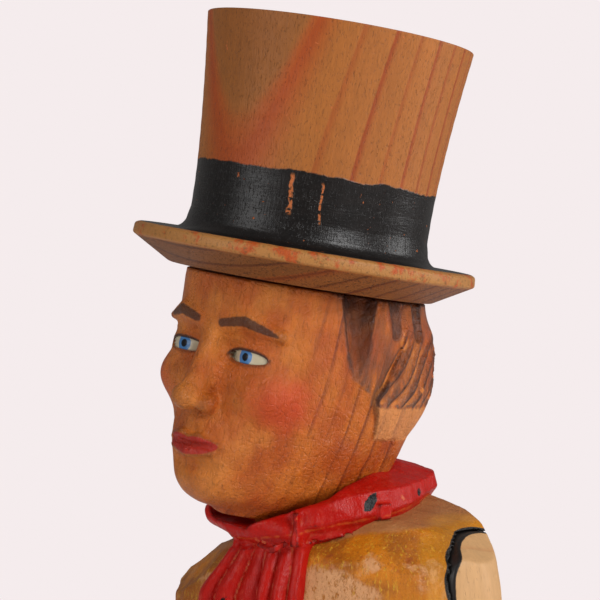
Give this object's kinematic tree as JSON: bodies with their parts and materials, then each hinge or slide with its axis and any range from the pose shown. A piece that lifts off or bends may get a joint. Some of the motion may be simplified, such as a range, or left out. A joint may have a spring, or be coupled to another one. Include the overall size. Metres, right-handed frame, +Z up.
{
  "type": "carved figurine",
  "caption": "Carved and painted wooden figure of a gentleman in a turned top hat, neckerchief and waistcoat, standing on a chamfered wooden base.",
  "frame": {"origin": "centre of the base's underside", "axes": "+Z up; the figure faces -Y, and its left arm is at +X"},
  "size_m": [0.06, 0.054, 0.2018],
  "materials": {
    "turned_wood": "turned, thin clear varnish",
    "stained_wood": "knife-carved, stained and varnished",
    "painted_wood": "knife-carved, thin hand-brushed paint",
    "pale_wood": "knife-carved, bare, waxed",
    "base_wood": "sawn, chamfered and stained",
    "dowel_wood": "plain beech dowel",
    "screw_steel": "countersunk wood screw"
  },
  "bodies": {
    "root": {"top_hat": "turned_wood", "hat_dowel": "dowel_wood", "head": "stained_wood", "neck_dowel": "dowel_wood", "body": "painted_wood", "left_arm": "pale_wood", "left_arm_dowel": "dowel_wood", "right_arm": "pale_wood", "right_arm_dowel": "dowel_wood", "base": "base_wood", "left_screw": "screw_steel", "right_screw": "screw_steel"}
  },
  "joints": []
}
